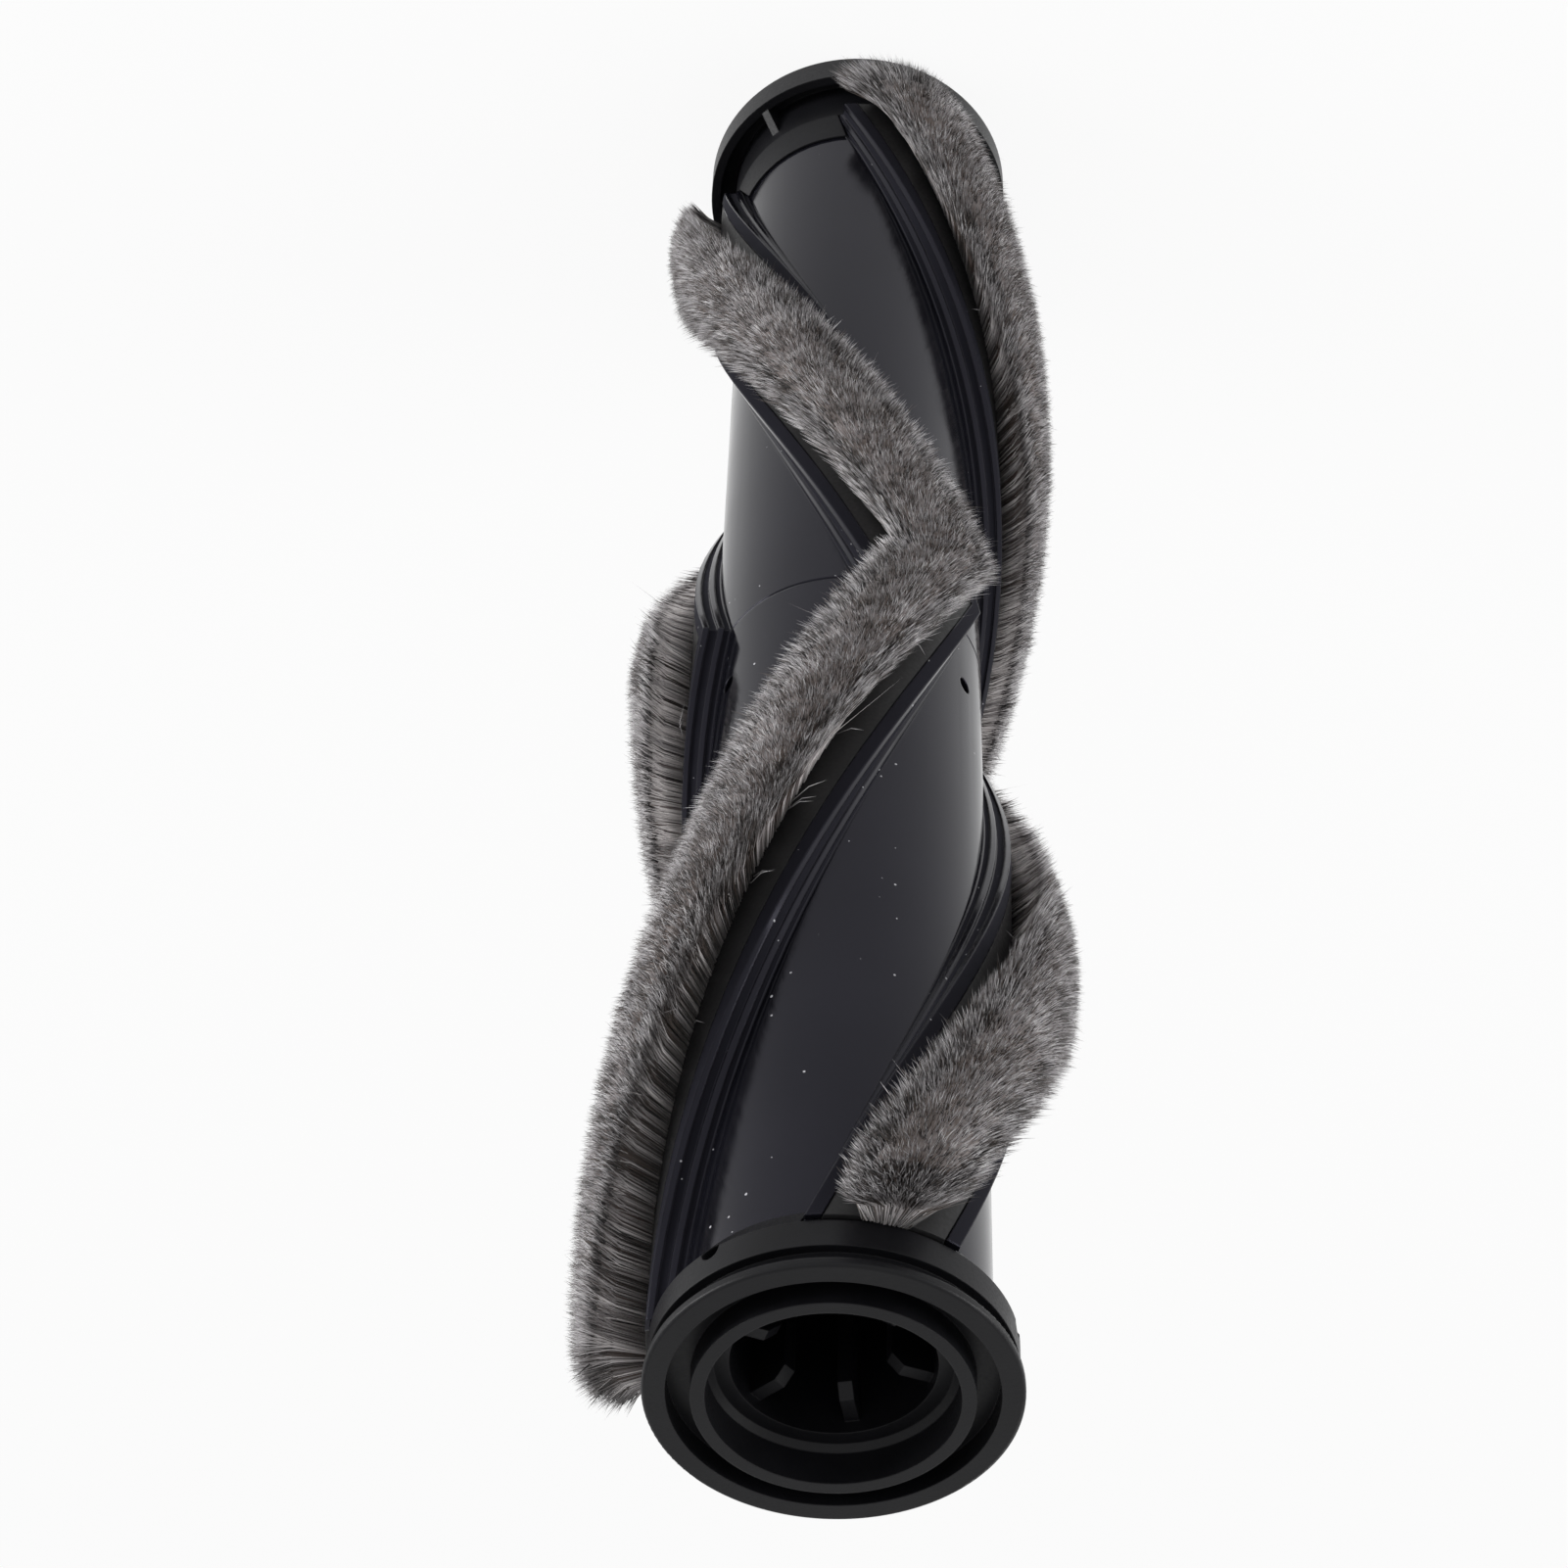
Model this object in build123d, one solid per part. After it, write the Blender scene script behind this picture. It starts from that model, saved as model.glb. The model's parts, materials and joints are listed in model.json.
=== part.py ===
from build123d import *
import os

# Vacuum roller brush, millimetres. The axis is Z, the idle end stands on Z = 0
# and the drive end is at the top.

# Moulded tube
LENGTH = 237.0            # end to end
TUBE_R = 16.8             # outer radius
TUBE_WALL = 2.0
SEAM_WIDTH = 0.3          # witness line where the two mould halves meet
SEAM_DEPTH = 0.15
VENT_R = 1.1              # small round hole beside each V
VENT_OFFSET = 10.9        # from mid length towards the drive end
VENT_TURN = 28.5          # from the point of the V, degrees

# V-shaped rails that hold the strips
CHEVRONS = 3
APEX_ANGLE = 239.4        # polar angle of the first point, degrees
TWIST = 1.22              # turn per millimetre of length, degrees
RAIL_HEIGHT = 3.2         # above the tube
RAIL_WIDTH = 16.6         # across the lips, square to the axis
RAIL_ROOT = 0.8           # depth the rail runs into the tube wall
RAIL_WALL = 1.2           # side wall of the slot
BEAD = 0.7                # height of the lip bead and of the foot bead
BEAD_PROUD = 0.3          # beads beyond the side wall
BEAD_DROP = 1.7           # foot bead below the top of the rail
LIP = 0.8                 # lip over the slot
LIP_REACH = 0.5           # lip over the strip on each side

# Strips
FOOT_THICK = 1.2          # edge of the carrier under the lips
STRIP_PLAY = 0.12         # play of the carrier in its slot
PILE_WIDTH = 4.8          # at the carrier
PILE_HEIGHT = 7.25        # above the rail, at the crown
PILE_FLARE = 5.3          # spread of the tips on each side
PILE_LEAN = 0.65          # crown beside the line of the strip
PILE_CROWN = 2.25         # crown above the leading tips
PILE_DROOP = 1.8          # trailing tips below the leading ones
PILE_OVERHANG = 1.5       # pile beyond the rail ends
STRIP_JOIN = 0.2          # gap between the two halves at the point

# Drive end cap
FIT = 0.06                # radial play of caps on the tube
RING_SET = 0.5            # ring face below the sleeve face
RING_WIDTH = 1.3          # the ring is as large as the rails
RING_WALL = 2.5
RING_ROUND = 0.4
GROOVE_WIDTH = 2.6        # ring-shaped groove in the face
GROOVE_DEPTH = 2.8
SLEEVE_WALL = 1.55
NECK_WIDTH = 1.9          # narrow groove behind the ring
NECK_DEPTH = 1.6
COLLAR_DROP = 0.5         # collar below the ring
COLLAR_WIDTH = 3.5
CONE_LENGTH = 3.4
CONE_EDGE = 0.3           # thickness where a cone ends on the tube
SLIT = 0.4                # gap between rail ends and cap
WEB = 2.2                 # cap material over the tube end
LEDGE_DEPTH = 4.9         # from the sleeve face
LEDGE = 2.4
LEDGE_BEVEL = 0.7
SOCKET_DEPTH = 26.0
SOCKET_FLOOR = 2.0
RIBS = 6
RIB_ANGLE = 100.7         # polar angle of one rib, degrees
RIB_THICK = 1.6
RIB_LENGTH = 4.8
RIB_SET = 1.6             # rib top below the ledge
RIB_SLOPE = 1.4
BOSS_R = 3.0
BOSS_HEIGHT = 1.5
CATCH_R = 1.2             # round catch window between the rails
CATCH_TURN = 56.2         # from the line of a strip, degrees

# Idle end cap
RIM_PROUD = 1.6           # cup beyond the rails
RIM_WALL = 1.3
CUP_DEPTH = 5.2
PLATE = 2.4
BASE_BEVEL = 0.6
HUB_WALL = 1.2
HUB_FRONT = 10.0
HUB_CONE = 4.5
TUBE_SEAT = 1.0           # above the plate
SPIGOT_LENGTH = 12.0
SPIGOT_WALL = 2.0
GUSSET_THICK = 1.2
SHOULDER = 1.8

# Bearing and its fittings
BORE_R = 3.0
BEARING_R = 9.5
BEARING_WIDTH = 6.0
BEARING_SET = 1.9         # lower face above the base
BEARING_FIT = 0.02
BALLS = 7
BALL_R = 1.75
BALL_PLAY = 0.04
RACE_LAND = 1.15          # each race's land from the ball circle
CAGE_THICK = 1.1
CAGE_WIDTH = 4.6
POCKET_PLAY = 0.1
SHIELD_THICK = 0.35
SHIELD_INSET = 0.1
SHIELD_GAP = 0.12
CLIP_THICK = 0.8
CLIP_BITE = 0.6           # into the pocket wall
CLIP_WIDTH = 1.7
CLIP_GAP = 5.0            # opening of the split ring
CLIP_PLAY = 0.05
PIN_R = 2.0               # bore of the bush
BUSH_FIT = 0.02
BUSH_FLANGE = 1.4         # beyond the bearing bore
BUSH_FLANGE_THICK = 1.0
BUSH_TAIL = 0.8           # above the bearing

# Levels and radii that follow from the sizes above
MID = LENGTH / 2
RAIL_R = TUBE_R + RAIL_HEIGHT
RING_R = RAIL_R
RIM_R = RAIL_R + RIM_PROUD
LIP_R = RAIL_R - LIP
FLOOR_R = LIP_R - FOOT_THICK - 2 * STRIP_PLAY
NECK_RAIL = RAIL_WIDTH - 2 * BEAD_PROUD
SLOT_WIDTH = RAIL_WIDTH - 2 * RAIL_WALL
SLOT_MOUTH = SLOT_WIDTH - 2 * LIP_REACH
BORE_TUBE_R = TUBE_R - TUBE_WALL
SPIGOT_R = BORE_TUBE_R - FIT
COLLAR_R = RING_R - COLLAR_DROP
GROOVE_R = RING_R - RING_WALL
SLEEVE_R = GROOVE_R - GROOVE_WIDTH
MOUTH_R = SLEEVE_R - SLEEVE_WALL
SOCKET_R = MOUTH_R - LEDGE
Z_RING = LENGTH - RING_SET
Z_GROOVE = Z_RING - GROOVE_DEPTH
Z_RING_BACK = Z_RING - RING_WIDTH
Z_NECK_BACK = Z_RING_BACK - NECK_WIDTH
Z_COLLAR = Z_NECK_BACK - COLLAR_WIDTH
Z_CONE = Z_COLLAR - CONE_LENGTH
Z_TUBE_TOP = Z_GROOVE - WEB
Z_LEDGE = LENGTH - LEDGE_DEPTH
Z_SOCKET = LENGTH - SOCKET_DEPTH
Z_RAIL_TOP = Z_COLLAR - SLIT
Z_RAIL_BASE = HUB_FRONT + SLIT
Z_TUBE_BASE = PLATE + TUBE_SEAT
HUB_R = TUBE_R + HUB_WALL
POCKET_R = BEARING_R + BEARING_FIT
BALL_CIRCLE = (BORE_R + BEARING_R) / 2
Z_BEARING = BEARING_SET + BEARING_WIDTH / 2
Z_SEAT = BEARING_SET + BEARING_WIDTH
Z_SPIGOT = Z_TUBE_BASE + SPIGOT_LENGTH
STEP = 360 / CHEVRONS


def turned(*points):
    """Body of revolution about Z from corners given as (radius, height)."""
    return revolve(Plane.XZ * make_face(Polyline(*points, close=True)), Axis.Z)


def band(r_in, r_out, width):
    """Flat piece of the ring between two radii, as wide as stated, on +X."""
    ring = Circle(r_out) - Circle(r_in)
    return ring & (Pos(r_out, 0) * Rectangle(2 * r_out, width))


def twisted(section, start, height):
    """Prism from a level above mid length up, turning with the rails."""
    face = section.faces()[0]
    body = Solid.extrude_linear_with_rotation(face, (0, 0, 0), (0, 0, height), TWIST * height)
    return Pos(0, 0, start) * Rot(0, 0, APEX_ANGLE + TWIST * (start - MID)) * body


def other_half(body):
    """The same piece on the idle side of mid length."""
    return mirror(body, Plane.XY.offset(MID))


def around(body, count):
    """Equal copies of a body around the axis."""
    return [Rot(0, 0, i * 360 / count) * body for i in range(count)]


def save(shape, name):
    """Write one piece."""
    shape.label = name
    export_step(shape, os.path.join("parts", name + ".step"))


os.makedirs("parts", exist_ok=True)

# Tube with its V rails
tube = Pos(0, 0, Z_TUBE_BASE) * Cylinder(
    TUBE_R, Z_TUBE_TOP - Z_TUBE_BASE, align=(Align.CENTER, Align.CENTER, Align.MIN))
seam = Cylinder(TUBE_R + 1, SEAM_WIDTH) - Cylinder(TUBE_R - SEAM_DEPTH, SEAM_WIDTH)
tube -= Pos(0, 0, MID) * seam

root_r = TUBE_R - RAIL_ROOT
foot_bead_r = RAIL_R - BEAD_DROP
rail_section = band(root_r, RAIL_R, NECK_RAIL)
rail_section += band(RAIL_R - BEAD, RAIL_R, RAIL_WIDTH)
rail_section += band(foot_bead_r - BEAD, foot_bead_r, RAIL_WIDTH)
rail_section -= band(FLOOR_R, LIP_R, SLOT_WIDTH)
rail_section -= band(FLOOR_R, RAIL_R + 1, SLOT_MOUTH)
drive_rail = twisted(rail_section, MID, Z_RAIL_TOP - MID)
idle_rail = other_half(twisted(rail_section, MID, MID - Z_RAIL_BASE))
tube = tube.fuse(*around(drive_rail, CHEVRONS), *around(idle_rail, CHEVRONS))
tube -= Pos(0, 0, MID) * Cylinder(BORE_TUBE_R, LENGTH)
vent = Rot(0, 0, APEX_ANGLE - VENT_TURN) * Pos(TUBE_R, 0, MID + VENT_OFFSET)
vent = vent * Rot(0, 90, 0) * Cylinder(VENT_R, 3 * TUBE_WALL)
for hole in around(vent, CHEVRONS):
    tube -= hole
save(tube, "roller_tube")

# Strips: carrier between the lips, pile standing on it
carrier_r = RAIL_R - STRIP_PLAY
backing_section = band(FLOOR_R + STRIP_PLAY, LIP_R - STRIP_PLAY, SLOT_WIDTH - 2 * STRIP_PLAY)
backing_section += band(FLOOR_R + STRIP_PLAY, carrier_r, SLOT_MOUTH - 2 * STRIP_PLAY)
pile_foot_r = carrier_r + STRIP_PLAY
pile_top_r = RAIL_R + PILE_HEIGHT
leading_r = pile_top_r - PILE_CROWN
trailing_r = leading_r - PILE_DROOP
pile_tip = PILE_WIDTH / 2 + PILE_FLARE
pile_sides = Polyline(
    (trailing_r, PILE_LEAN + pile_tip),
    (pile_foot_r, PILE_WIDTH / 2),
    (pile_foot_r, -PILE_WIDTH / 2),
    (leading_r, PILE_LEAN - pile_tip))
pile_crown = ThreePointArc(
    (leading_r, PILE_LEAN - pile_tip),
    (pile_top_r, PILE_LEAN),
    (trailing_r, PILE_LEAN + pile_tip))
pile_section = make_face([pile_sides, pile_crown])
strip_start = MID + STRIP_JOIN / 2
sections = (("strip_backing", backing_section, 0), ("brush_pile", pile_section, PILE_OVERHANG))
for name, section, extra in sections:
    drive_side = twisted(section, strip_start, Z_RAIL_TOP + extra - strip_start)
    idle_side = other_half(twisted(section, strip_start, LENGTH - Z_RAIL_BASE + extra - strip_start))
    for i, piece in enumerate(around(drive_side, CHEVRONS)):
        save(piece, f"drive_{name}_{i + 1}")
    for i, piece in enumerate(around(idle_side, CHEVRONS)):
        save(piece, f"idle_{name}_{i + 1}")

# Room that the caps leave for the rail ends
rail_room = band(root_r, RIM_R, RAIL_WIDTH + 2 * STRIP_PLAY)

# Drive end cap
cap = turned(
    (MOUTH_R, LENGTH),
    (SLEEVE_R, LENGTH),
    (SLEEVE_R, Z_GROOVE),
    (GROOVE_R, Z_GROOVE),
    (GROOVE_R, Z_RING),
    (RING_R, Z_RING),
    (RING_R, Z_RING_BACK),
    (RING_R - NECK_DEPTH, Z_RING_BACK),
    (RING_R - NECK_DEPTH, Z_NECK_BACK),
    (COLLAR_R, Z_NECK_BACK),
    (COLLAR_R, Z_COLLAR),
    (TUBE_R + FIT + CONE_EDGE, Z_CONE),
    (TUBE_R + FIT, Z_CONE),
    (TUBE_R + FIT, Z_TUBE_TOP),
    (SPIGOT_R, Z_TUBE_TOP),
    (SPIGOT_R, Z_SOCKET - SOCKET_FLOOR),
    (0, Z_SOCKET - SOCKET_FLOOR),
    (0, Z_SOCKET),
    (SOCKET_R, Z_SOCKET),
    (SOCKET_R, Z_LEDGE),
    (MOUTH_R - LEDGE_BEVEL, Z_LEDGE),
    (MOUTH_R, Z_LEDGE + LEDGE_BEVEL))
ring_edges = cap.edges().filter_by(GeomType.CIRCLE)
ring_edges = ring_edges.filter_by(lambda e: abs(e.radius - RING_R) < 1e-3)
cap = fillet(ring_edges, RING_ROUND)
rib_tip = SOCKET_R - RIB_LENGTH
rib_top = Z_LEDGE - RIB_SET
rib_face = Plane.XZ * make_face(Polyline(
    (rib_tip, Z_SOCKET),
    (SOCKET_R + SLEEVE_WALL, Z_SOCKET),
    (SOCKET_R + SLEEVE_WALL, rib_top),
    (rib_tip + RIB_SLOPE, rib_top),
    (rib_tip, rib_top - RIB_SLOPE),
    close=True))
rib = Rot(0, 0, RIB_ANGLE) * extrude(rib_face, RIB_THICK / 2, both=True)
boss = Pos(0, 0, Z_SOCKET + BOSS_HEIGHT / 2) * Cylinder(BOSS_R, BOSS_HEIGHT)
cap = cap.fuse(boss, *around(rib, RIBS))
room = twisted(rail_room, Z_CONE - 1, Z_COLLAR - Z_CONE + 1)
catch_turn = Rot(0, 0, APEX_ANGLE + TWIST * (Z_COLLAR - MID) + CATCH_TURN)
window = Cylinder(CATCH_R, COLLAR_R, align=(Align.CENTER, Align.CENTER, Align.MIN))
catch = catch_turn * Pos(TUBE_R, 0, Z_COLLAR) * Rot(0, 90, 0) * window
for cutter in around(room, CHEVRONS) + around(catch, CHEVRONS):
    cap -= cutter
save(cap, "drive_end_cap")

# Idle end cap
cup = turned(
    (POCKET_R, 0),
    (RIM_R - BASE_BEVEL, 0),
    (RIM_R, BASE_BEVEL),
    (RIM_R, CUP_DEPTH),
    (RIM_R - RIM_WALL, CUP_DEPTH),
    (RIM_R - RIM_WALL, PLATE),
    (HUB_R, PLATE),
    (HUB_R, HUB_FRONT),
    (TUBE_R + FIT + CONE_EDGE, HUB_FRONT + HUB_CONE),
    (TUBE_R + FIT, HUB_FRONT + HUB_CONE),
    (TUBE_R + FIT, Z_TUBE_BASE),
    (SPIGOT_R, Z_TUBE_BASE),
    (SPIGOT_R, Z_SPIGOT),
    (SPIGOT_R - SPIGOT_WALL, Z_SPIGOT),
    (SPIGOT_R - SPIGOT_WALL, Z_SEAT + 2 * SHOULDER),
    (0, Z_SEAT + 2 * SHOULDER),
    (0, Z_SEAT + SHOULDER),
    (POCKET_R - SHOULDER, Z_SEAT + SHOULDER),
    (POCKET_R - SHOULDER, Z_SEAT),
    (POCKET_R, Z_SEAT))
gusset_face = Plane.XZ * make_face(Polyline(
    (HUB_R - HUB_WALL / 2, PLATE / 2),
    (RIM_R - RIM_WALL / 2, PLATE / 2),
    (RIM_R - RIM_WALL / 2, CUP_DEPTH * 0.9),
    (HUB_R - HUB_WALL / 2, HUB_FRONT * 0.9),
    close=True))
gusset_turn = APEX_ANGLE + TWIST * (MID - HUB_FRONT) + STEP / 2
gusset = Rot(0, 0, gusset_turn) * extrude(gusset_face, GUSSET_THICK / 2, both=True)
cup = cup.fuse(*around(gusset, CHEVRONS))
room = other_half(twisted(rail_room, LENGTH - HUB_FRONT - HUB_CONE - 1, HUB_CONE + 1))
for cutter in around(room, CHEVRONS):
    cup -= cutter
clip_z = BEARING_SET - CLIP_THICK / 2 - CLIP_PLAY
clip_seat = Cylinder(POCKET_R + CLIP_BITE, CLIP_THICK + 2 * CLIP_PLAY)
cup -= Pos(0, 0, clip_z) * clip_seat
save(cup, "idle_end_cap")

# Split ring that keeps the bearing in its pocket
clip_r = POCKET_R + CLIP_BITE - CLIP_PLAY
clip = Cylinder(clip_r, CLIP_THICK) - Cylinder(clip_r - CLIP_WIDTH, CLIP_THICK)
clip -= Pos(clip_r, 0) * Box(2 * CLIP_WIDTH + 2, CLIP_GAP, CLIP_THICK)
save(Pos(0, 0, clip_z) * clip, "retaining_ring")

# Ball bearing
inner_land = BALL_CIRCLE - RACE_LAND
outer_land = BALL_CIRCLE + RACE_LAND
track = Torus(BALL_CIRCLE, BALL_R + BALL_PLAY)
outer_ring = Cylinder(BEARING_R, BEARING_WIDTH) - Cylinder(outer_land, BEARING_WIDTH) - track
inner_ring = Cylinder(inner_land, BEARING_WIDTH) - Cylinder(BORE_R, BEARING_WIDTH) - track
place = Pos(0, 0, Z_BEARING)
save(place * outer_ring, "bearing_outer_ring")
save(place * inner_ring, "bearing_inner_ring")
cage = Cylinder(BALL_CIRCLE + CAGE_THICK / 2, CAGE_WIDTH)
cage -= Cylinder(BALL_CIRCLE - CAGE_THICK / 2, CAGE_WIDTH)
pocket = Pos(BALL_CIRCLE, 0, 0) * Rot(0, 90, 0) * Cylinder(BALL_R + POCKET_PLAY, 2 * CAGE_THICK)
for hollow in around(pocket, BALLS):
    cage -= hollow
save(place * cage, "bearing_cage")
ball = place * Pos(BALL_CIRCLE, 0, 0) * Sphere(BALL_R)
save(Compound(children=around(ball, BALLS)), "bearing_balls")
shield = Cylinder(outer_land - BEARING_FIT, SHIELD_THICK)
shield -= Cylinder(inner_land + SHIELD_GAP, SHIELD_THICK)
shield_z = BEARING_WIDTH / 2 - SHIELD_INSET - SHIELD_THICK / 2
save(place * Pos(0, 0, -shield_z) * shield, "bearing_shield_lower")
save(place * Pos(0, 0, shield_z) * shield, "bearing_shield_upper")

# Flanged bush that takes the pin of the cleaner head
bush = turned(
    (PIN_R, BEARING_SET - BUSH_FIT - BUSH_FLANGE_THICK),
    (BORE_R + BUSH_FLANGE, BEARING_SET - BUSH_FIT - BUSH_FLANGE_THICK),
    (BORE_R + BUSH_FLANGE, BEARING_SET - BUSH_FIT),
    (BORE_R - BUSH_FIT, BEARING_SET - BUSH_FIT),
    (BORE_R - BUSH_FIT, Z_SEAT + BUSH_TAIL),
    (PIN_R, Z_SEAT + BUSH_TAIL))
save(bush, "axle_bush")
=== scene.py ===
"""Vacuum roller brush: finishes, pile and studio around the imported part, in metres."""

import json
import logging
import math
from dataclasses import dataclass
from enum import Enum

import bmesh
import bpy
import numpy as np
from mathutils import Matrix, Vector

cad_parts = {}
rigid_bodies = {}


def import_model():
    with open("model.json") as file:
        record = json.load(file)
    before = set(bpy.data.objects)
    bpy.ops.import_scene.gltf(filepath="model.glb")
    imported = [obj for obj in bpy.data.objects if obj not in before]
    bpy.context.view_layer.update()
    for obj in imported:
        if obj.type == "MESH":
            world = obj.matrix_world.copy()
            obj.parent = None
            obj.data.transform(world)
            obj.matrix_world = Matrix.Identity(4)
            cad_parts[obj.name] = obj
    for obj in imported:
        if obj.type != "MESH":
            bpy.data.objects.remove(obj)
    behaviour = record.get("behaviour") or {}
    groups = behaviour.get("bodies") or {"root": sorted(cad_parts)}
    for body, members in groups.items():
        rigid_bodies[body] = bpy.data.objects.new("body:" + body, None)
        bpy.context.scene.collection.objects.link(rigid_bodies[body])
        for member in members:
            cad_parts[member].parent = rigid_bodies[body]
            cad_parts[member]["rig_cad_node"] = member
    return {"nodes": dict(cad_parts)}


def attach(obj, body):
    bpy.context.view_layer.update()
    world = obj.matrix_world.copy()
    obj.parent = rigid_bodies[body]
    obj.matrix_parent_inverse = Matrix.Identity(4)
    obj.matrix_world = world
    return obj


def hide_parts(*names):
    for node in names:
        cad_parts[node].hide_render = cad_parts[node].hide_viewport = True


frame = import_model()
log = logging.getLogger("roller_brush")

MM = 0.001
OFF_AXIS = (0.31, 0.17, 0.93)
Colour = tuple[float, float, float]


class Half(Enum):
    """The half of the roller that a strip lies on, with the way it runs from mid length."""

    DRIVE = 1.0
    IDLE = -1.0

    @property
    def label(self) -> str:
        """Name that the half has in node names."""
        return self.name.lower()


class Bench:
    """Node tree of one new material, with short calls to add and join nodes."""

    def __init__(self, name: str) -> None:
        """Start a material.

        Args:
            name: name of the material.
        """
        self.material = bpy.data.materials.new(name)
        self.material.use_nodes = True
        self.tree = self.material.node_tree
        self.shader = self.tree.nodes["Principled BSDF"]

    def add(self, kind: str, links: dict | None = None, **values: object) -> bpy.types.Node:
        """Add a node.

        Args:
            kind: type of the node, without its common prefix.
            links: socket name or number to the output that feeds it, or to a plain value.
            values: properties of the node.
        Returns:
            The new node.
        """
        node = self.tree.nodes.new("ShaderNode" + kind)
        for key, value in values.items():
            setattr(node, key, value)
        self.feed(node, links or {})
        return node

    def feed(self, node: bpy.types.Node, links: dict) -> None:
        """Join outputs to a node's inputs, or set the inputs.

        Args:
            node: node to feed.
            links: socket name or number to an output or to a plain value.
        """
        for key, value in links.items():
            if isinstance(value, bpy.types.NodeSocket):
                self.tree.links.new(value, node.inputs[key])
            else:
                node.inputs[key].default_value = value

    def place(self) -> bpy.types.NodeSocket:
        """Object coordinates."""
        return self.add("TexCoord").outputs["Object"]

    def noise(self, size: float, detail: float = 3.0) -> bpy.types.NodeSocket:
        """Cloudy value.

        Args:
            size: size of one cloud in metres.
            detail: number of finer layers.
        Returns:
            Output between 0 and 1.
        """
        links = {"Vector": self.place(), "Scale": 1.0 / size, "Detail": detail}
        return self.add("TexNoise", links).outputs[0]

    def span(self, value: bpy.types.NodeSocket, low: float, high: float) -> bpy.types.NodeSocket:
        """Stretch the middle of a cloudy value to a range.

        Args:
            value: output between 0 and 1.
            low: result at the lower end.
            high: result at the upper end.
        Returns:
            Output of the stretched value.
        """
        links = {"Value": value, "From Min": 0.3, "From Max": 0.7, "To Min": low, "To Max": high}
        return self.add("MapRange", links).outputs[0]

    def ramp(self, value: bpy.types.NodeSocket, stops: list[tuple[float, Colour]]) -> bpy.types.NodeSocket:
        """Turn a value into a colour.

        Args:
            value: output between 0 and 1.
            stops: places and their colours.
        Returns:
            Colour output.
        """
        node = self.add("ValToRGB", {0: value})
        marks = node.color_ramp.elements
        while len(marks) < len(stops):
            marks.new(0.5)
        for mark, (where, colour) in zip(marks, stops):
            mark.position = where
            mark.color = (*colour, 1.0)
        return node.outputs["Color"]

    def mix(self, share: object, first: object, second: object, blend: str = "MIX") -> bpy.types.NodeSocket:
        """Mix two colours.

        Args:
            share: share of the second colour.
            first: output or colour.
            second: output or colour.
            blend: how the colours meet.
        Returns:
            Colour output.
        """
        node = self.add("Mix", data_type="RGBA", blend_type=blend)
        self.feed(node, {0: share, 6: first, 7: second})
        return node.outputs[2]

    def math(self, kind: str, first: object, second: object = 0.0) -> bpy.types.NodeSocket:
        """Work out one number.

        Args:
            kind: operation.
            first: output or number.
            second: output or number.
        Returns:
            Output of the result.
        """
        return self.add("Math", {0: first, 1: second}, operation=kind).outputs[0]

    def rounded(self, radius: float) -> bpy.types.NodeSocket:
        """Normal of the surface with its edges rounded.

        Args:
            radius: radius of the rounding in metres.
        Returns:
            Normal output.
        """
        return self.add("Bevel", {"Radius": radius}, samples=4).outputs[0]

    def bump(
            self, height: bpy.types.NodeSocket, depth: float, strength: float,
            normal: bpy.types.NodeSocket | None = None) -> None:
        """Give the surface relief.

        Args:
            height: output between 0 and 1.
            depth: real depth in metres.
            strength: share of the relief that shows.
            normal: normal of the surface under the relief, or none for its own.
        """
        links = {"Height": height, "Distance": depth, "Strength": strength}
        if normal:
            links["Normal"] = normal
        self.feed(self.shader, {"Normal": self.add("Bump", links).outputs[0]})


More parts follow.
